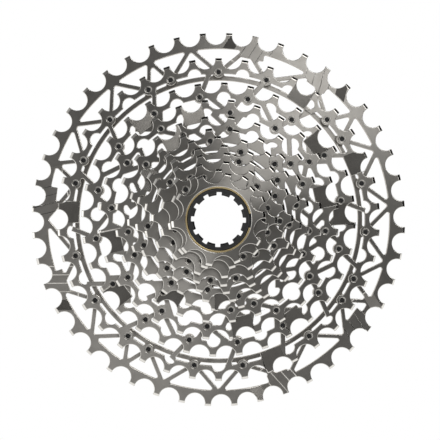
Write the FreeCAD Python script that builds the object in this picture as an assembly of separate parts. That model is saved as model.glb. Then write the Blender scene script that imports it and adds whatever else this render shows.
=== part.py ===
import FreeCAD, Part
import math
import os

os.makedirs("parts", exist_ok=True)

# A twelve-speed bicycle cassette of pinned plate cogs. Its axis is Y, and the smallest cog faces -Y, as on a
# wheel seen from its drive side with +Z up. The origin is on the axis, in the rear face of the largest cog.
# Angles are in degrees from +X towards +Z. All sizes are in millimetres.

# Chain and teeth.
CHAIN_PITCH = 12.7
SEAT_DEPTH = 3.85      # from the pitch circle down to the floor of a roller's seat
TIP_LAND = 3.3         # width of a tooth's flat top
TIP_CHAMFER = 1.05     # how far a tip's front bevel runs down the tooth
TIP_CHAMFER_DEEP = 0.8
REAR_CHAMFER = 0.35

# The stack.
COG_STEP = 3.58        # from one cog's middle plane to the next
PLATE = 1.75           # a steel cog's thickness
LARGE_PLATE = 2.0      # the largest cog's thickness

# Pins that join neighbouring cogs. Each has a shoulder that spaces the two plates.
PIN_R = 1.5
PIN_FIT = 0.02         # radial clearance of a pin in its holes
SHOULDER_R = PIN_R + 0.45
SHOULDER_GAP = 0.1     # least room between a pin's shoulder and the sleeve
DIMPLE_R = PIN_R - 0.28
DIMPLE_DEEP = 0.9
LUG_R = PIN_R + 1.2        # metal round each pin
DOME_LUG_R = PIN_R + 0.9   # the same in the crowded small cogs

# Rims, struts and rings.
RIM = 2.3              # from the floor of a roller seat to a steel rim's inner edge
LARGE_RIM = 2.0
SCALLOP_R = 3.2        # the hollow in a rim's inner edge under a tooth with no pin
SCALLOP_RISE = 0.6     # how far that hollow rises past the root circle
STRUT = 2.3
TRUSS_BAR = 2.0
RING = 2.2             # radial width of the largest cog's inner ring
WINDOW_ROUND = 0.9     # corner radius of the windows
CORE_WINDOW_ROUND = 0.6
BAY_OVERLAP = 0.95     # how far, in lug radii, a bay reaches inside the pin circle
FUSE_GAP = 0.002       # edges nearer than this are one edge when windows are joined
SMALLEST_WINDOW = 0.3  # area, less its round corners, of the smallest window that is worth cutting

# Shift ramps, cut in the front faces.
PAD_WIDTH = 10.5
PAD_DROP = 3.4         # how far a pad reaches inside the rim
RAMP_DEEP = 0.6        # at a ramp's deep end
STAIR_RISE = 0.28
STAIR_TREAD = 4.1
STAIR_SLANT = 21.0     # of the risers, from the radial direction
STAIR_STEPS = 4
STAIR_RUN = 5.0        # the slope back up to the face

# The centre: a splined sleeve carries the small cogs, and a threaded tube turns inside it. Each radius here
# is built up from the lock tube's by the wall, step or clearance that lies between.
TUBE_R = 14.9
TUBE_FIT = 0.05        # running clearance of the lock tube
TUBE_LENGTH = 22.0
TUBE_RECESS = 0.15     # from the smallest cog's face to the nose
TUBE_STOP = 0.4        # axial play behind the lock tube
TUBE_NOSE = 1.55       # length of the narrower nose in front of the retaining ring
TUBE_NOSE_R = TUBE_R - 1.0
THREAD_R = TUBE_R - 1.9            # minor radius of the tube's internal thread
THREAD_LENGTH = 10.0
TUBE_BORE_R = THREAD_R + 0.4
NOTCH_ROOT_R = TUBE_NOSE_R - 1.3
NOTCH_TIP_R = NOTCH_ROOT_R - 1.45
NOTCH_COUNT = 12
NOTCH_WIDTH = 2.3
NOTCH_DEEP = 4.0
NOTCH_BEVEL = 0.75
NOTCH_ANGLE = -1.5
RING_INNER_R = TUBE_NOSE_R + 0.3
RING_OUTER_R = TUBE_R + 0.5
RING_GAP = 25.0
RING_GAP_ANGLE = -2.0
RING_THICK = 0.9
RING_FIT = 0.03
LIP_R = RING_OUTER_R - 0.3         # bore of the smallest cog in front of the retaining ring
LIP = 0.5
BEARING_R = TUBE_R + TUBE_FIT      # the bore that the lock tube turns in
NOSE_R = BEARING_R + 0.85          # the sleeve's nose, which the two smallest cogs sit on
NOSE_IN = 1.1                      # how far the nose enters the smallest cog's hub
SEAT_FIT = 0.01                    # radial clearance of the cogs on the sleeve
HUB_R = NOSE_R + SEAT_FIT + 0.74   # the smallest cog's rear hub
SPLINE_R = BEARING_R + 1.25
SPLINE_ROOT_R = SPLINE_R + 1.1
SPLINE_COUNT = 10
PILOT_R = SPLINE_ROOT_R + 0.5
PILOT_LENGTH = 3.0
SLEEVE_R = PILOT_R + 0.7

PAST = 1.0             # how far a cutter runs past the metal

# Each cog: angle of its first tooth and how far its tips rise past the pitch circle.
COGS = {
    44: (4.9, 2.0), 38: (90.0, 1.35), 32: (8.8, 1.35), 28: (83.9, 0.95), 24: (7.8, 0.85), 21: (44.7, 0.75),
    19: (71.7, 0.8), 17: (64.3, 0.6), 15: (10.5, 0.85), 13: (54.5, 0.8), 11: (122.4, 0.85), 10: (6.0, 1.15),
}
TEETH = sorted(COGS, reverse=True)
LARGEST = TEETH[0]
NOSE_COG, SMALLEST = TEETH[-2:]

# Each cog's own pins, which join it to the next larger one: the angle of the first, the steps from pin to pin
# in teeth of the cog that sets their spacing, and how far inside the cog's root circle they stand.
PINS = {
    38: (38, 90.0, (2, 3, 1, 2, 2, 2, 1, 2, 3, 2, 2, 1, 2, 2, 3, 1, 2, 2, 1, 2), 1.6),
    32: (32, 8.8, (2,) * 16, 1.3),
    28: (28, 83.9, (2, 2, 3) * 4, 1.4),
    24: (24, 82.8, (3, 1, 2, 1, 3, 1, 3, 2, 1, 3, 2, 2), 1.4),
    21: (21, 96.1, (3, 2, 3, 2, 3, 2, 2, 2, 2), 1.4),
    19: (19, 71.7, (2, 2, 2, 3, 2, 2, 2, 2, 2), 1.4),
    17: (15, 70.5, (2, 1, 1, 2, 1, 1, 4, 3), 2.1),
    15: (13, 40.7, (1, 1, 1, 3, 1, 3, 3), 3.3),
    13: (13, 137.6, (1, 2, 2, 1, 1, 2, 2, 2), 2.1),
}

# Struts from a cog's rim to the next smaller cog's pins: how far each foot is turned from its pin.
STRUTS = {38: (-5.5,), 32: (11.0, -4.5), 28: (11.5, -5.5), 24: (9.0, -9.0)}

# The cog inside the strutted ones hangs on the next smaller cog's pins. The four after it sit on the sleeve.
HUNG = 21
SEATED = (19, 17, 15, 13)
WINDOWED = (21, 19, 17)  # small cogs with room for windows between their pins

# Angles of the shift ramps, and of the largest cog's stairs with the way that they step down.
RAMPS = {
    38: (56.5, 22.5, 177.0, 291.5), 32: (37.5, 2.5, 127.5, 216.5, 307.0),
    28: (12.0, 103.5, 191.5, 282.5), 24: (119.5, 238.5), 21: (150.0, 275.0),
}
STAIRS = ((78.0, 1), (53.8, -1), (172.5, -1), (201.2, 1), (323.8, 1), (290.8, -1))


def polar(radius, angle, y=0.0):
    turn = math.radians(angle)
    return FreeCAD.Vector(radius * math.cos(turn), y, radius * math.sin(turn))


def pitch_r(teeth):
    return CHAIN_PITCH / 2 / math.sin(math.pi / teeth)


def root_r(teeth):
    return pitch_r(teeth) - SEAT_DEPTH


def tip_r(teeth):
    return pitch_r(teeth) + COGS[teeth][1]


def thickness(teeth):
    return LARGE_PLATE if teeth == LARGEST else PLATE


def rear_y(teeth):
    middle = -LARGE_PLATE / 2 - COG_STEP * TEETH.index(teeth)
    return middle + thickness(teeth) / 2


def front_y(teeth):
    return rear_y(teeth) - thickness(teeth)


def larger(teeth):
    return TEETH[TEETH.index(teeth) - 1]


def smaller(teeth):
    return TEETH[TEETH.index(teeth) + 1]


def pin_circle(teeth):
    clear_of_sleeve = SLEEVE_R + SHOULDER_GAP + SHOULDER_R
    return max(root_r(teeth) - PINS[teeth][3], clear_of_sleeve)


def pin_angles(teeth):
    spacing_teeth, angle, steps, _ = PINS[teeth]
    angles = []
    for step in steps:
        angles.append(angle)
        angle -= step * 360 / spacing_teeth
    return angles


def rim_r(teeth):
    width = LARGE_RIM if teeth == LARGEST else RIM
    return root_r(teeth) - width


def rod(radius, start_y, end_y, centre=FreeCAD.Vector()):
    base = FreeCAD.Vector(centre.x, start_y, centre.z)
    return Part.makeCylinder(radius, end_y - start_y, base, FreeCAD.Vector(0, 1, 0))


def tube(outer, inner, start_y, end_y):
    return rod(outer, start_y, end_y).cut(rod(inner, start_y, end_y))


def disc(radius, centre=FreeCAD.Vector()):
    return Part.Face(Part.Wire(Part.makeCircle(radius, centre, FreeCAD.Vector(0, 1, 0))))


def polygon(points):
    return Part.Face(Part.makePolygon(list(points) + [points[0]]))


def bar(start, end, width):
    side = (end - start).cross(FreeCAD.Vector(0, 1, 0)).normalize() * (width / 2)
    return polygon([start + side, end + side, end - side, start - side])


def revolve(profile):
    """Turn a list of (radius, y) points about the Y axis."""
    face = polygon([FreeCAD.Vector(radius, y, 0) for radius, y in profile])
    return face.revolve(FreeCAD.Vector(), FreeCAD.Vector(0, 1, 0), 360)


def tooth_outline(teeth):
    """Teeth with flat tops. The gap between two of them is one arc, from tip to tip through its floor."""
    first, _ = COGS[teeth]
    step = 360 / teeth
    tip = tip_r(teeth)
    half_land = math.degrees(math.asin(TIP_LAND / 2 / tip))
    edges = []
    for count in range(teeth):
        tooth = first + count * step
        corner = polar(tip, tooth + half_land)
        floor = polar(root_r(teeth), tooth + step / 2)
        next_corner = polar(tip, tooth + step - half_land)
        edges.append(Part.Arc(polar(tip, tooth - half_land), polar(tip, tooth), corner).toShape())
        edges.append(Part.Arc(corner, floor, next_corner).toShape())
    return Part.Face(Part.Wire(edges))


def own_pins(teeth):
    if teeth not in PINS:
        return []
    return [polar(pin_circle(teeth), angle) for angle in pin_angles(teeth)]


def inner_pins(teeth):
    if teeth == SMALLEST:
        return []
    return own_pins(smaller(teeth))


# The windows have round corners. Each is first laid out with all the metal about it too thick by the corner's
# radius, and is then let out by that radius, so its corners come out round and its sides where they belong.
# In the functions below, thick is that extra metal.

def let_out(faces, radius):
    windows = []
    for face in faces:
        if face.Area > SMALLEST_WINDOW:
            windows += face.makeOffset2D(radius).Faces
    return windows


def lugs(pins, radius, thick):
    return [disc(radius + thick, pin) for pin in pins]


def scallops(teeth, thick):
    """Hollows in the rim's inner edge, under the teeth that have no pin."""
    first, _ = COGS[teeth]
    step = 360 / teeth
    centre_r = root_r(teeth) + SCALLOP_RISE - SCALLOP_R
    faces = []
    for count in range(teeth):
        angle = first + count * step
        nearest = min(abs((pin - angle + 180) % 360 - 180) for pin in pin_angles(teeth))
        if nearest > step / 2:
            faces.append(disc(SCALLOP_R - thick, polar(centre_r, angle)))
    return faces


def pads(teeth, thick):
    """Metal inside the rim, under each shift ramp."""
    angles = [angle for angle, _ in STAIRS] if teeth == LARGEST else RAMPS.get(teeth, ())
    inner = rim_r(teeth) - PAD_DROP - thick
    width = PAD_WIDTH + 2 * thick
    return [bar(polar(inner, angle), polar(root_r(teeth), angle), width) for angle in angles]


def struts(teeth, thick):
    """Swept struts from the rim to the next smaller cog's pins."""
    bars = []
    for angle in pin_angles(smaller(teeth)):
        hub = polar(pin_circle(smaller(teeth)), angle)
        for sweep in STRUTS[teeth]:
            foot = polar(rim_r(teeth) + RIM / 2, angle + sweep)
            bars.append(bar(hub, foot, STRUT + 2 * thick))
    return bars


def truss(teeth, thick):
    """Bars of the largest cog, from each lug to the rim halfway to its neighbours."""
    angles = sorted(pin_angles(smaller(teeth)))
    lug = pin_circle(smaller(teeth))
    width = TRUSS_BAR + 2 * thick
    bars = []
    for angle, following in zip(angles, angles[1:] + [angles[0] + 360]):
        node = polar(rim_r(teeth) + LARGE_RIM / 2, (angle + following) / 2)
        bars.append(bar(polar(lug, angle), node, width))
        bars.append(bar(polar(lug, following), node, width))
    return bars


def open_windows(teeth):
    """All that is open inside a strutted cog's rim: a bay between each two lugs, and the wide middle."""
    thick = WINDOW_ROUND
    inner = pin_circle(smaller(teeth))
    area = disc(rim_r(teeth) - thick).multiFuse(scallops(teeth, thick)).removeSplitter()
    metal = [disc(inner - BAY_OVERLAP * LUG_R + thick)]
    metal += lugs(own_pins(teeth) + inner_pins(teeth), LUG_R, thick)
    metal += struts(teeth, thick)
    metal += pads(teeth, thick)
    middle = disc(inner - PIN_R).cut(lugs(inner_pins(teeth), LUG_R, 0))
    bays = let_out(area.cut(metal).Faces, thick)
    return middle.multiFuse(bays, FUSE_GAP).removeSplitter().Faces


def inner_ring_r(teeth):
    """The outer radius of the largest cog's inner ring, which the lugs stand on."""
    return pin_circle(smaller(teeth)) - PIN_R


def truss_windows(teeth):
    thick = WINDOW_ROUND
    area = disc(rim_r(teeth) - thick).cut(disc(inner_ring_r(teeth) + thick))
    metal = lugs(inner_pins(teeth), LUG_R, thick)
    return let_out(area.cut(metal + truss(teeth, thick) + pads(teeth, thick)).Faces, thick)


def core_windows(teeth):
    """Small windows of a cog whose plate reaches in to the sleeve or to the next pins."""
    thick = CORE_WINDOW_ROUND
    area = disc(rim_r(teeth) - thick).cut(disc(pin_circle(smaller(teeth)) - PIN_R + thick))
    metal = lugs(own_pins(teeth) + inner_pins(teeth), DOME_LUG_R, thick)
    return let_out(area.cut(metal + pads(teeth, thick)).Faces, thick)


def ramp_cutter(teeth, angle):
    """A wedge that sinks evenly across the pad, the way that the chain comes on to it."""
    front = front_y(teeth)
    side = PAD_WIDTH / 2
    inner = rim_r(teeth) - PAD_DROP
    face = polygon([
        FreeCAD.Vector(0, front, side), FreeCAD.Vector(0, front - PAST, side),
        FreeCAD.Vector(0, front - PAST, -side), FreeCAD.Vector(0, front + RAMP_DEEP, -side)])
    wedge = face.extrude(FreeCAD.Vector(tip_r(teeth) - inner, 0, 0))
    wedge.translate(FreeCAD.Vector(inner, 0, 0))
    wedge.rotate(FreeCAD.Vector(), FreeCAD.Vector(0, 1, 0), -angle)
    return wedge


def stair_cutter(teeth, angle, way):
    """Treads across the rim that step down one way, and a slope that comes back up to the face."""
    front = front_y(teeth)
    inner = rim_r(teeth) - PAD_DROP
    reach = 2 * (tip_r(teeth) - inner)
    start = -STAIR_TREAD * STAIR_STEPS / 2
    points = [(start, -PAST), (start, 0)]
    for count in range(1, STAIR_STEPS + 1):
        points.append((start + STAIR_RISE, count * STAIR_RISE))
        start += STAIR_TREAD
        points.append((start, count * STAIR_RISE))
    points += [(start + STAIR_RUN, 0), (start + STAIR_RUN, -PAST)]
    cutter = polygon([FreeCAD.Vector(-reach / 2, front + deep, way * side) for side, deep in points])
    cutter = cutter.extrude(FreeCAD.Vector(reach, 0, 0))
    cutter.rotate(FreeCAD.Vector(), FreeCAD.Vector(0, 1, 0), STAIR_SLANT * way)
    cutter.translate(FreeCAD.Vector((tip_r(teeth) + inner) / 2, 0, 0))
    cutter.rotate(FreeCAD.Vector(), FreeCAD.Vector(0, 1, 0), -angle)
    return cutter


def chamfered_disc(teeth):
    """The round blank that the teeth are cut from, with its two edges bevelled."""
    tip = tip_r(teeth) + PAST
    front = front_y(teeth)
    rear = rear_y(teeth)
    edge = tip_r(teeth)
    return revolve([
        (0, front), (edge - TIP_CHAMFER, front), (edge, front + TIP_CHAMFER_DEEP),
        (tip, front + TIP_CHAMFER_DEEP), (tip, rear - REAR_CHAMFER), (edge, rear - REAR_CHAMFER),
        (edge - REAR_CHAMFER, rear), (0, rear)])


def blank(teeth, windows, bore):
    front = front_y(teeth)
    deep = thickness(teeth)
    solid = tooth_outline(teeth).extrude(FreeCAD.Vector(0, deep, 0))
    solid.translate(FreeCAD.Vector(0, front, 0))
    solid = solid.common(chamfered_disc(teeth))
    cutters = []
    for window in windows:
        cutter = window.extrude(FreeCAD.Vector(0, deep + 2 * PAST, 0))
        cutter.translate(FreeCAD.Vector(0, front - PAST, 0))
        cutters.append(cutter)
    if bore:
        cutters.append(rod(bore, front - PAST, front + deep + PAST))
    for pin in own_pins(teeth) + inner_pins(teeth):
        cutters.append(rod(PIN_R + PIN_FIT, front - PAST, front + deep + PAST, pin))
    for angle in RAMPS.get(teeth, ()):
        cutters.append(ramp_cutter(teeth, angle))
    return solid.cut(cutters)


def largest_cog():
    solid = blank(LARGEST, truss_windows(LARGEST), inner_ring_r(LARGEST) - RING)
    return solid.cut([stair_cutter(LARGEST, angle, way) for angle, way in STAIRS])


def strutted_cog(teeth):
    return blank(teeth, open_windows(teeth), 0)


def core_cog(teeth, bore):
    """A small cog, which is a nearly full plate with a bore."""
    windows = core_windows(teeth) if teeth in WINDOWED else []
    return blank(teeth, windows, bore)


def smallest_cog():
    """The smallest cog, with the retaining ring's groove and a hub that spaces it from its neighbour."""
    front = front_y(SMALLEST)
    groove = front + LIP
    shoulder = groove + RING_THICK + 2 * RING_FIT
    rear = front_y(NOSE_COG)
    seat = rear - NOSE_IN
    seat_bore = NOSE_R + SEAT_FIT
    groove_r = RING_OUTER_R + RING_FIT
    plate = blank(SMALLEST, [], 0).fuse(rod(HUB_R, front, rear))
    bore = revolve([
        (0, front - PAST), (LIP_R, front - PAST), (LIP_R, groove), (groove_r, groove),
        (groove_r, shoulder), (BEARING_R, shoulder), (BEARING_R, seat), (seat_bore, seat),
        (seat_bore, rear + PAST), (0, rear + PAST)])
    return plate.cut(bore).removeSplitter()


def pin(start_y, shoulder_start, shoulder_end, end_y, centre):
    solid = rod(PIN_R, start_y, end_y, centre).fuse(rod(SHOULDER_R, shoulder_start, shoulder_end, centre))
    dimples = [rod(DIMPLE_R, start_y - PAST, start_y + DIMPLE_DEEP, centre),
               rod(DIMPLE_R, end_y - DIMPLE_DEEP, end_y + PAST, centre)]
    return solid.cut(dimples).removeSplitter()


def pin_group(teeth):
    """All the pins between one cog and the next larger one."""
    ends = (front_y(teeth), rear_y(teeth), front_y(larger(teeth)), rear_y(larger(teeth)))
    return Part.makeCompound([pin(*ends, centre) for centre in own_pins(teeth)])


def retaining_ring():
    start = front_y(SMALLEST) + LIP + RING_FIT
    ring = tube(RING_OUTER_R, RING_INNER_R, start, start + RING_THICK)
    reach = RING_OUTER_R + PAST
    rise = reach * math.tan(math.radians(RING_GAP / 2))
    gap = polygon([FreeCAD.Vector(), FreeCAD.Vector(reach, 0, -rise), FreeCAD.Vector(reach, 0, rise)])
    gap = gap.extrude(FreeCAD.Vector(0, RING_THICK + 2 * PAST, 0))
    gap.translate(FreeCAD.Vector(0, start - PAST, 0))
    gap.rotate(FreeCAD.Vector(), FreeCAD.Vector(0, 1, 0), -RING_GAP_ANGLE)
    return ring.cut(gap)


def round_slots(radius, width, start, end, count, first=0.0):
    """Cutters for even slots round the axis, as wide as given, with their floors at one radius."""
    slot = Part.makeBox(radius, end - start, width, FreeCAD.Vector(0, start, -width / 2))
    slot = slot.common(rod(radius, start, end))
    slots = []
    for number in range(count):
        cutter = slot.copy()
        cutter.rotate(FreeCAD.Vector(), FreeCAD.Vector(0, 1, 0), -first - number * 360 / count)
        slots.append(cutter)
    return slots


def lock_tube():
    """The turning tube: tool notches in front, an internal thread at its inboard end."""
    front = front_y(SMALLEST) + TUBE_RECESS
    flange = front + TUBE_NOSE
    rear = front + TUBE_LENGTH
    thread = rear - THREAD_LENGTH
    collar = front + NOTCH_DEEP
    body = revolve([
        (NOTCH_TIP_R + NOTCH_BEVEL, front), (TUBE_NOSE_R, front), (TUBE_NOSE_R, flange), (TUBE_R, flange),
        (TUBE_R, rear), (THREAD_R, rear), (THREAD_R, thread), (TUBE_BORE_R, thread),
        (TUBE_BORE_R, collar), (NOTCH_TIP_R, collar), (NOTCH_TIP_R, front + NOTCH_BEVEL)])
    notches = round_slots(NOTCH_ROOT_R, NOTCH_WIDTH, front - PAST, collar + PAST, NOTCH_COUNT, NOTCH_ANGLE)
    return body.cut(notches)


def driver_sleeve():
    """The steel sleeve: nose, cog seat, bearing bore, splines, and a pilot that ends at the origin."""
    nose = front_y(NOSE_COG) - NOSE_IN
    seat = rear_y(NOSE_COG)
    splines = front_y(SMALLEST) + TUBE_RECESS + TUBE_LENGTH + TUBE_STOP
    rear = 0
    pilot = rear - PILOT_LENGTH
    body = revolve([
        (BEARING_R, nose), (NOSE_R, nose), (NOSE_R, seat), (SLEEVE_R, seat), (SLEEVE_R, rear),
        (PILOT_R, rear), (PILOT_R, pilot), (SPLINE_R, pilot), (SPLINE_R, splines), (BEARING_R, splines)])
    width = math.pi * SPLINE_R / SPLINE_COUNT
    slot_end = splines + SPLINE_ROOT_R - SPLINE_R
    return body.cut(round_slots(SPLINE_ROOT_R, width, slot_end, pilot + PAST, SPLINE_COUNT))


def save(name, shape):
    shape.exportStep(f"parts/{name}.step")
    solids = len(shape.Solids)
    print(f"{name}: {solids} solid(s), valid {shape.isValid()}, {shape.Volume:.1f} mm3")


save(f"cog_{LARGEST}", largest_cog())
for cog in STRUTS:
    save(f"cog_{cog}", strutted_cog(cog))
save(f"cog_{HUNG}", core_cog(HUNG, pin_circle(smaller(HUNG)) - DOME_LUG_R))
for cog in SEATED:
    save(f"cog_{cog}", core_cog(cog, SLEEVE_R + SEAT_FIT))
save(f"cog_{NOSE_COG}", core_cog(NOSE_COG, NOSE_R + SEAT_FIT))
save(f"cog_{SMALLEST}", smallest_cog())
for cog in PINS:
    save(f"pins_{cog}_{larger(cog)}", pin_group(cog))
save("driver_sleeve", driver_sleeve())
save("lock_tube", lock_tube())
save("retaining_ring", retaining_ring())
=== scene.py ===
# %% [markdown]
# # A bicycle cassette
# This is a stack of chain cogs for a bicycle's rear wheel. The thin steel cogs are joined to each other by
# short pins, and the small ones sit on a splined sleeve. A black tube with tool notches turns in the middle,
# and a gold spring ring keeps it in. The exact shapes come from the CAD frame. The work here is the finish:
# soft edges on every plate, turned and plated metal with some painted highlight and shade in its colours, pin
# dimples darkened with painted shade, and the light that shows them.

# %% Load the frame
import math

import bmesh
import bpy
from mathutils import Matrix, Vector


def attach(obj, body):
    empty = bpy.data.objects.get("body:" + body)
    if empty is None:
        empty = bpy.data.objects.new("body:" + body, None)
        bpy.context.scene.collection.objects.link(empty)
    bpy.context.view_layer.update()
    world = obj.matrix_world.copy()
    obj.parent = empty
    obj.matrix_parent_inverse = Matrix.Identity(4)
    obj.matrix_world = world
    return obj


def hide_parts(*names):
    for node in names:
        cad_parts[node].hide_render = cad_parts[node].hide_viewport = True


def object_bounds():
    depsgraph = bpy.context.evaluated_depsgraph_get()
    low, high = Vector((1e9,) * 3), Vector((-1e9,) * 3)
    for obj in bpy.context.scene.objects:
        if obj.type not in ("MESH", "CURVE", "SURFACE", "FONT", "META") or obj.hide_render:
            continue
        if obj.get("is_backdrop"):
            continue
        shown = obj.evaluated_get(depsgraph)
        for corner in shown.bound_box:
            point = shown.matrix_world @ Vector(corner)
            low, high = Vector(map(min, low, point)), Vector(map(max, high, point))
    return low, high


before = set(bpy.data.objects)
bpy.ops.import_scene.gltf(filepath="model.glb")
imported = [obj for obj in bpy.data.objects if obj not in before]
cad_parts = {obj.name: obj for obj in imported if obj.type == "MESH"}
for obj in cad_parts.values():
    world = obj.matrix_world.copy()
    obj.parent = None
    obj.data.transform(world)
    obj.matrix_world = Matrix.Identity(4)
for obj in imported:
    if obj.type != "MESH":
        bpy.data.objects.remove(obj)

MM = 0.001
cad_box = [list(corner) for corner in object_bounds()]
print("CAD box in mm:", [[round(value / MM, 1) for value in corner] for corner in cad_box])

# %% [markdown]
# ## Two small helpers for materials
# Colours are written as the familiar web hex codes. A renderer works in linear light, so one function turns
# each code into linear numbers. The other helper adds a shader node, sets its inputs and links it, which
# keeps every material below short enough to read at a glance.

# %% Colour and node helpers
def colour(code):
    channels = [int(code[i:i + 2], 16) / 255 for i in (1, 3, 5)]
    linear = [c / 12.92 if c <= 0.04045 else ((c + 0.055) / 1.055) ** 2.4 for c in channels]
    return (*linear, 1)


def add(tree, kind, settings=(), **inputs):
    """Add a node. settings are its own options; inputs are numbers, colours or sockets of other nodes."""
    node = tree.nodes.new("ShaderNode" + kind)
    for name, value in dict(settings).items():
        setattr(node, name, value)
    for name, value in inputs.items():
        socket = node.inputs[int(name[1:])] if name[1:].isdigit() else node.inputs[name.replace("_", " ")]
        if isinstance(value, bpy.types.NodeSocket):
            tree.links.new(value, socket)
        else:
            socket.default_value = value
    return node


print("mid grey in linear light:", [round(c, 3) for c in colour("#808080")[:3]])

# %% [markdown]
# ## Where a point is on a turned plate
# A cog is finished on a lathe or a rotary brush, so its fine marks run round the axis. The next cell works
# out two things from Object coordinates that the metals here need: the distance from the axis, and the
# direction straight out from it. The first places the brush marks. The second is the shader's tangent: light
# spreads across the marks, so the highlight is stretched outwards, which draws bright fans on a turned face.
# The cell also starts a material, and joins a finished colour, roughness and relief to its shader.

# %% Distance from the axis, and the way out from it
def from_the_axis(tree):
    place = add(tree, "TexCoord").outputs["Object"]
    split = add(tree, "SeparateXYZ", _0=place)
    flat = add(tree, "CombineXYZ", X=split.outputs["X"], Z=split.outputs["Z"])
    radius = add(tree, "VectorMath", {"operation": "LENGTH"}, _0=flat.outputs[0]).outputs["Value"]
    outward = add(tree, "VectorMath", {"operation": "NORMALIZE"}, _0=flat.outputs[0]).outputs[0]
    return place, radius, outward


def new_material(name):
    material = bpy.data.materials.new(name)
    material.use_nodes = True
    tree = material.node_tree
    shader = tree.nodes["Principled BSDF"]
    return material, tree, shader


def dress(tree, shader, tint, roughness, relief, metallic):
    tree.links.new(tint.outputs[2], shader.inputs["Base Color"])
    tree.links.new(roughness.outputs[0], shader.inputs["Roughness"])
    tree.links.new(relief.outputs[0], shader.inputs["Normal"])
    shader.inputs["Metallic"].default_value = metallic


print("helpers ready")

# %% [markdown]
# ## Satin nickel on the cog faces
# The cogs are stamped and machined steel with a satin nickel plate. Nickel is a warm grey metal. The plate
# follows the turned steel below it, so it is brushed round the axis. Real brush lines are about 0.05 mm
# apart, too fine to show at this size, so they are drawn about 0.35 mm apart. Handling leaves slightly duller
# patches a few millimetres across, and a fine grain of a quarter of a millimetre softens the lines.

# %% Satin nickel
BRUSH_LINES = 1 / (0.35 * MM)
PATCH = 1 / (6.0 * MM)
GRAIN = 1 / (0.25 * MM)
RELIEF = 0.02 * MM
SMOOTHER, ROUGHER = 0.04, 0.05


def satin_nickel(name, face, dull, roughness, stretch, brush_bump):
    material, tree, shader = new_material(name)
    place, radius, outward = from_the_axis(tree)
    lines = add(tree, "CombineXYZ", X=radius)
    brush = add(tree, "TexNoise", Vector=lines.outputs[0], Scale=BRUSH_LINES, Detail=2.0)
    patch = add(tree, "TexNoise", Vector=place, Scale=PATCH, Detail=3.0)
    grain = add(tree, "TexNoise", Vector=place, Scale=GRAIN, Detail=1.0)
    tint = add(tree, "MapRange", Value=patch.outputs["Fac"], From_Min=0.35, From_Max=0.65)
    mix = add(tree, "Mix", {"data_type": "RGBA"}, Factor=tint.outputs[0], _6=colour(face), _7=colour(dull))
    rough = add(tree, "MapRange", Value=brush.outputs["Fac"], To_Min=roughness - SMOOTHER,
                To_Max=roughness + ROUGHER)
    height = add(tree, "Mix", Factor=0.25, _2=brush.outputs["Fac"], _3=grain.outputs["Fac"])
    bump = add(tree, "Bump", Strength=brush_bump, Distance=RELIEF, Height=height.outputs[0])
    dress(tree, shader, mix, rough, bump, metallic=1)
    tree.links.new(outward, shader.inputs["Tangent"])
    shader.inputs["Anisotropic"].default_value = stretch
    return material


face_nickel = satin_nickel("satin_nickel_turned_face", "#9A9792", "#918E89", 0.34, 0.8, 0.25)
print("made", face_nickel.name)

# %% [markdown]
# ## Bright edges, dark ramps and warm walls
# Tumbling the stamped plates rounds their edges and rubs the satin off them, so an edge is smoother than a
# face. Its colour is also made much paler than a face's: a painted highlight that brightens the light lines
# along the edges. A ramp that leans off the face gets a colour a little darker than the face, which is
# painted shade. The walls inside windows and between the teeth are cut, not brushed: they keep a plain cut
# surface.
# Where they face the axis they get a bronze colour, a painted reflection of warm surroundings. A cut wall
# needs no stretched highlight. A tooth's tip bevel and a stair's risers are pressed by a polished die, so
# they are the smoothest metal of all. They look pale or dark by the way that they face, and their very pale
# colour adds painted highlight to that.

# %% Edge and wall metals
# painted highlight: the edge metal is far paler than the face, to brighten the light lines along the edges
edge_nickel_painted_highlight = satin_nickel("tumbled_nickel_edge_painted_highlight", "#E2DFD9", "#D6D3CD", 0.2, 0.0, 0.05)
# painted shade: the ramp metal is a little darker than the face, so a tilted ramp reads darker
milled_nickel_painted_shade = satin_nickel("milled_nickel_ramp_painted_shade", "#8B8883", "#827F7A", 0.24, 0.0, 0.15)
# painted highlight: tip bevels and risers get a very pale metal, so that their reflections read brighter
coined_nickel_painted_highlight = satin_nickel("coined_nickel_tooth_tip_painted_highlight", "#EAE7E1", "#E0DDD7", 0.14, 0.0, 0.05)


OUTER_WALL = "#B5B2AC"
# painted reflection: a bronze colour on walls that face the axis stands in for a warm reflection
WARM_PAINTED_REFLECTION = "#A89880"


def cut_wall_painted_reflection():
    material, tree, shader = new_material("cut_nickel_wall_painted_reflection")
    place, radius, outward = from_the_axis(tree)
    normal = add(tree, "NewGeometry").outputs["Normal"]
    facing = add(tree, "VectorMath", {"operation": "DOT_PRODUCT"}, _0=normal, _1=outward)
    # mask of the walls that face the axis, where the painted warm reflection goes
    faces_axis_painted_reflection = add(tree, "MapRange", Value=facing.outputs["Value"], From_Min=-0.2, From_Max=-0.9)
    streak = add(tree, "TexNoise", Vector=place, Scale=GRAIN, Detail=2.0)
    mix = add(tree, "Mix", {"data_type": "RGBA"}, Factor=faces_axis_painted_reflection.outputs[0], _6=colour(OUTER_WALL),
              _7=colour(WARM_PAINTED_REFLECTION))
    rough = add(tree, "MapRange", Value=streak.outputs["Fac"], To_Min=0.28, To_Max=0.42)
    bump = add(tree, "Bump", Strength=0.3, Distance=RELIEF, Height=streak.outputs["Fac"])
    dress(tree, shader, mix, rough, bump, metallic=1)
    return material


wall_nickel_painted_reflection = cut_wall_painted_reflection()
print("made", edge_nickel_painted_highlight.name, milled_nickel_painted_shade.name, coined_nickel_painted_highlight.name, wall_nickel_painted_reflection.name)

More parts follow.
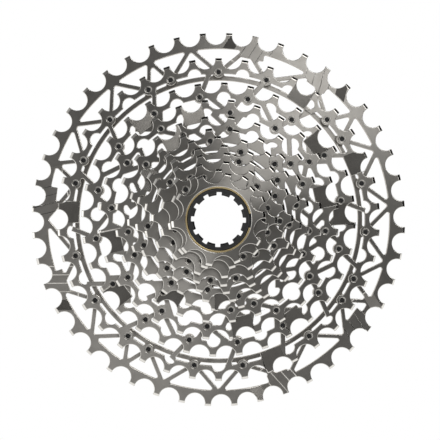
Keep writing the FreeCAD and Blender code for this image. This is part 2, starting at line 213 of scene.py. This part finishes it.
# %% [markdown]
# ## Pins, sleeve, tube and ring
# The pins are turned steel, a little brighter than the plates. The dimple that the riveting tool leaves is
# painted near black: painted shade for the dark that falls in that hollow. The sleeve is plain turned steel.
# The lock tube is aluminium with a black hard anodised skin, which is a thin glassy oxide over the metal: a
# dark dielectric with a soft sheen. The ring is spring steel with a gold coloured coat, so it is a metal with
# a yellow tint. The dark skins have a mottle about a millimetre across.

# %% The other metals
pin_steel = satin_nickel("turned_pin_steel", "#CDCAC4", "#C0BDB7", 0.3, 0.0, 0.1)
sleeve_steel = satin_nickel("turned_sleeve_steel", "#9C9993", "#8F8C86", 0.32, 0.5, 0.3)
gold_coat = satin_nickel("gold_coated_spring_ring", "#E8D3A2", "#DCC48E", 0.28, 0.0, 0.1)


MOTTLE = 1 / (1.2 * MM)
SKIN_RELIEF = 0.01 * MM
UNEVEN = 0.06


def black_skin(name, shade, worn, roughness):
    material, tree, shader = new_material(name)
    place = add(tree, "TexCoord").outputs["Object"]
    mottle = add(tree, "TexNoise", Vector=place, Scale=MOTTLE, Detail=3.0)
    mix = add(tree, "Mix", {"data_type": "RGBA"}, Factor=mottle.outputs["Fac"], _6=colour(shade),
              _7=colour(worn))
    rough = add(tree, "MapRange", Value=mottle.outputs["Fac"], To_Min=roughness - UNEVEN,
                To_Max=roughness + UNEVEN)
    bump = add(tree, "Bump", Strength=0.2, Distance=SKIN_RELIEF, Height=mottle.outputs["Fac"])
    dress(tree, shader, mix, rough, bump, metallic=0)
    return material


black_anodised = black_skin("black_hard_anodised_aluminium", "#222222", "#2C2C2C", 0.38)
worn_black = black_skin("worn_black_anodised_edge", "#5A5A5A", "#6E6E6E", 0.34)
# painted shade: a near black colour for the dark in the pin dimples
dimple_painted_shade = black_skin("painted_shade_in_dimple", "#0E0E0E", "#181818", 0.5)
print("made", pin_steel.name, sleeve_steel.name, gold_coat.name, black_anodised.name, dimple_painted_shade.name)

# %% [markdown]
# ## From a CAD plate to a finished plate
# A CAD node comes as loose triangles, which can't take a bevel. So each node gets a copy with its doubled
# points merged and its triangles paired into quads. Then every edge is judged by the angle that it turns. Two
# flat faces that meet at even a slight angle, as a ramp and the face round it do, get a crisp line. Other
# edges must turn more than a facet of a round wall does. The sharp ones are also given a bevel weight, and
# the small steps of the shift stairs get less of it than an outer edge. A face is known by how square it is
# to the axis, from 0 for a wall to 1 for a flat: a riser leans half way, and a tip bevel a little less.

# %% Copy, merge and mark the edges
MERGE = 0.0005 * MM
JOIN = math.radians(0.5)
CRISP = math.radians(1.0)
SHARP = math.radians(25)
SQUARE_TO_AXIS = 0.93
RISER = (0.68, 0.73)
TIP_BEVEL = (0.75, 0.85)
STEP_WEIGHT = 0.25


def is_flat(face):
    return abs(face.normal.y) > SQUARE_TO_AXIS


def leans(face, limits):
    return limits[0] < abs(face.normal.y) < limits[1]


def merged_copy(node):
    bm = bmesh.new()
    bm.from_mesh(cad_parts[node].data)
    bmesh.ops.remove_doubles(bm, verts=bm.verts, dist=MERGE)
    bmesh.ops.join_triangles(bm, faces=bm.faces, angle_face_threshold=JOIN, angle_shape_threshold=math.pi)
    weights = bm.edges.layers.float.new("bevel_weight_edge")
    for face in bm.faces:
        face.smooth = True
    for edge in bm.edges:
        turn = edge.calc_face_angle(0)
        flat = all(is_flat(face) for face in edge.link_faces)
        edge.smooth = turn < (CRISP if flat else SHARP)
        if turn > SHARP:
            edge[weights] = STEP_WEIGHT if any(leans(face, RISER) for face in edge.link_faces) else 1
    return bm


print("an edge is sharp past", round(math.degrees(SHARP)), "degrees")

# %% [markdown]
# ## The rolled edge
# The finished copy takes the CAD node's place. A bevel modifier rolls every weighted edge with the last metal
# in the list, so a tumbled edge is real geometry that catches the light.


def finished(node, bm, metals, bevel_width, body):
    mesh = bpy.data.meshes.new(node + "_finished")
    bm.to_mesh(mesh)
    bm.free()
    for metal in metals:
        mesh.materials.append(metal)
    piece = bpy.data.objects.new(node + "_finished", mesh)
    bpy.context.scene.collection.objects.link(piece)
    bevel = piece.modifiers.new("rolled_edge", "BEVEL")
    bevel.limit_method = "WEIGHT"
    bevel.width = bevel_width
    bevel.use_clamp_overlap = False
    bevel.loop_slide = False
    bevel.segments = 2
    bevel.profile = 0.5
    bevel.material = len(metals) - 1
    bevel.harden_normals = True
    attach(piece, body)
    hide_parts(node)


# %% [markdown]
# ## The twelve cogs
# Every cog gets the same treatment in one loop. A face square to the axis is turned, a ramp that leans a few
# degrees is milled, a bevel or riser is coined, and anything steeper is a cut wall. The rolled edge is about
# what tumbling leaves.

# %% Finish the cogs
EDGE = 0.3 * MM
DEAD_SQUARE = 0.9995
cogs = sorted((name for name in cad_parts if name.startswith("cog_")), key=lambda name: int(name[4:]))
TURNED, MILLED_PAINTED_SHADE, CUT_WALL_PAINTED_REFLECTION, COINED_PAINTED_HIGHLIGHT = range(4)
cog_metals = [face_nickel, milled_nickel_painted_shade, wall_nickel_painted_reflection, coined_nickel_painted_highlight, edge_nickel_painted_highlight]


def how_made(face):
    if abs(face.normal.y) > DEAD_SQUARE:
        return TURNED
    if is_flat(face):
        # a slightly tilted face takes the darker ramp metal, which is painted shade
        return MILLED_PAINTED_SHADE
    if leans(face, RISER) or leans(face, TIP_BEVEL):
        return COINED_PAINTED_HIGHLIGHT
    return CUT_WALL_PAINTED_REFLECTION


for name in cogs:
    bm = merged_copy(name)
    for face in bm.faces:
        face.material_index = how_made(face)
    counted = len(bm.faces)
    finished(name, bm, cog_metals, EDGE, "cassette")
    print(name, counted, "faces")

# %% [markdown]
# ## The pins
# Each group of pins is one node. A pin's faces are sorted by how far they lie from that pin's own centre. The
# dimple's radius is 1.22 mm, so a face that lies wholly within 1.24 mm gets near black painted shade. The
# rest is steel.

# %% Finish the pins
DIMPLE_R = 1.24 * MM
PIN_EDGE = 0.08 * MM
STEEL, PAINTED_SHADE_SLOT = 0, 1


def islands(bm):
    """Sets of faces that hang together, one for each pin."""
    left = set(bm.faces)
    while left:
        group, stack = set(), [left.pop()]
        while stack:
            face = stack.pop()
            group.add(face)
            near = {other for edge in face.edges for other in edge.link_faces} & left
            left -= near
            stack += near
        yield group


for name in sorted(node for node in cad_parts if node.startswith("pins_")):
    bm = merged_copy(name)
    count = 0
    for group in islands(bm):
        points = {vert for face in group for vert in face.verts}
        centre = sum((vert.co for vert in points), Vector()) / len(points)
        for face in group:
            reach = max(math.hypot(vert.co.x - centre.x, vert.co.z - centre.z) for vert in face.verts)
            # a face inside the dimple gets painted shade, a near black colour in that hollow
            face.material_index = PAINTED_SHADE_SLOT if reach < DIMPLE_R else STEEL
        count += 1
    finished(name, bm, [pin_steel, dimple_painted_shade, pin_steel], PIN_EDGE, "cassette")
    print(name, count, "pins")

# %% [markdown]
# ## The centre
# The sleeve, the lock tube and the ring are finished the same way. On the tube the bevel shows the worn edge
# of the black skin, which is how handling marks a tool notch first.

# %% Finish the sleeve, the tube and the ring
RING_EDGE = 0.3 * MM
TUBE_EDGE = 0.12 * MM
finished("driver_sleeve", merged_copy("driver_sleeve"), [sleeve_steel, edge_nickel_painted_highlight], EDGE, "cassette")
finished("retaining_ring", merged_copy("retaining_ring"), [gold_coat, gold_coat], RING_EDGE, "cassette")
finished("lock_tube", merged_copy("lock_tube"), [black_anodised, worn_black], TUBE_EDGE, "lock_tube")
print("finished the sleeve, the ring and the tube")

# %% [markdown]
# ## The studio
# The background is plain white. The floor and the backdrop give white to the camera and to reflections, and
# are an ordinary pale matt surface for all other light, so they add nothing to the lamps.

# %% Floor and backdrop
def pale_stage(name):
    material, tree, shader = new_material(name)
    path = add(tree, "LightPath")
    seen = add(tree, "Math", {"operation": "MAXIMUM"}, _0=path.outputs["Is Camera Ray"],
               _1=path.outputs["Is Glossy Ray"])
    white = add(tree, "Emission", Color=colour("#FFFFFF"), Strength=1.0)
    shader.inputs["Base Color"].default_value = colour("#E8E8E6")
    shader.inputs["Roughness"].default_value = 0.9
    mix = add(tree, "MixShader", _0=seen.outputs[0], _1=shader.outputs[0], _2=white.outputs[0])
    tree.links.new(mix.outputs[0], tree.nodes["Material Output"].inputs["Surface"])
    return material


def plane(name, corners, material):
    bm = bmesh.new()
    bm.faces.new([bm.verts.new(corner) for corner in corners])
    mesh = bpy.data.meshes.new(name)
    bm.to_mesh(mesh)
    bm.free()
    mesh.materials.append(material)
    piece = bpy.data.objects.new(name, mesh)
    bpy.context.scene.collection.objects.link(piece)
    piece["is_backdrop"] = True
    print(name, "corners in metres:", corners)


REACH = 3.0
FLOOR = -0.3
BACK = 0.8
FRONT = -0.45
paper = pale_stage("pale_studio_paper")
front_edge = [(-REACH, FRONT, FLOOR), (REACH, FRONT, FLOOR)]
back_edge = [(REACH, BACK, FLOOR), (-REACH, BACK, FLOOR)]
top_edge = [(REACH, BACK, REACH), (-REACH, BACK, REACH)]
plane("floor", front_edge + back_edge, paper)
plane("backdrop", back_edge[::-1] + top_edge, paper)

# %% [markdown]
# ## The room
# The world is plain too: white where the camera sees it. As light it is a soft studio room whose pale wall is
# low on the left and whose dark corner is high on the right. A rolled edge or a bevelled tooth tip looks
# sideways into that room, so it turns pale or nearly black by the way it faces.

# %% World
ROOM_FALLOFF = 3.8
ROOM_LIGHT = 2.7
world = bpy.data.worlds.new("studio")
world.use_nodes = True
bpy.context.scene.world = world
tree = world.node_tree
path = add(tree, "LightPath")
looking = add(tree, "TexCoord").outputs["Generated"]
low_left = Vector((-0.75, 0, -0.65)).normalized()  # towards the pale wall
side = add(tree, "VectorMath", {"operation": "DOT_PRODUCT"}, _0=looking, _1=low_left)
nearness = add(tree, "MapRange", Value=side.outputs["Value"], From_Min=-1.0)
room = add(tree, "Math", {"operation": "POWER"}, _0=nearness.outputs[0], _1=ROOM_FALLOFF)
power = add(tree, "Math", {"operation": "MULTIPLY"}, _0=room.outputs[0], _1=ROOM_LIGHT)
dim = add(tree, "Background", Color=colour("#FFFFFF"), Strength=power.outputs[0])
white = add(tree, "Background", Color=colour("#FFFFFF"), Strength=1.0)
mix = add(tree, "MixShader", _0=path.outputs["Is Camera Ray"], _1=dim.outputs[0], _2=white.outputs[0])
tree.links.new(mix.outputs[0], tree.nodes["World Output"].inputs["Surface"])
print("the room's light is", ROOM_LIGHT, "at its palest")

# %% [markdown]
# ## The lamp
# One large soft lamp stands behind the camera, up and to the right, and points at the cassette's middle. Seen
# in the turned faces it becomes two bright fans with darker ones between them. It is square, and wide enough
# that the fans fade out softly. The light lines on the left and lower edges come from the room.

# %% Key lamp
KEY_PLACE = Vector((0.35, -1.25, 0.51))
KEY_SIZE = 0.62
KEY_WATTS = 4.8
lamp = bpy.data.lights.new("key", "AREA")
lamp.shape = "RECTANGLE"
lamp.size = KEY_SIZE
lamp.size_y = KEY_SIZE
lamp.energy = KEY_WATTS
key = bpy.data.objects.new("key", lamp)
key.location = KEY_PLACE
key.rotation_euler = (-KEY_PLACE).to_track_quat("-Z", "Y").to_euler()
bpy.context.scene.collection.objects.link(key)
print("key lamp", round(KEY_PLACE.length, 2), "m from the cassette")

# %% [markdown]
# ## Camera
# The cassette is looked at straight down its axis, from about two thirds of a metre, with a long lens. The
# camera stands 0.7 mm to the right of the axis and 0.2 mm below it, so the view is very slightly off centre.

# %% Camera
DISTANCE = 0.64        # from the plane that VIEW_WIDTH is measured in
VIEW_WIDTH = 0.2141
VIEW_PLANE = -2.0 * MM
OFF_AXIS = (0.7 * MM, -0.2 * MM)
lens = bpy.data.cameras.new("camera")
lens.sensor_width = 36
lens.lens = lens.sensor_width * DISTANCE / VIEW_WIDTH
camera = bpy.data.objects.new("camera", lens)
camera.location = (OFF_AXIS[0], VIEW_PLANE - DISTANCE, OFF_AXIS[1])
camera.rotation_euler = (math.radians(90), 0, 0)
bpy.context.scene.collection.objects.link(camera)
bpy.context.scene.camera = camera
bpy.context.scene.view_settings.view_transform = "Standard"
print("lens of", round(lens.lens, 1), "mm")

# %% [markdown]
# ## The last measure
# A finish must not change a part's size, so the box round everything is measured again and kept beside the
# CAD box for comparison.

# %% Sizes, and finish
visual_box = [list(corner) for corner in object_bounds()]
print("visual box in mm:", [[round(value / MM, 1) for value in corner] for corner in visual_box])
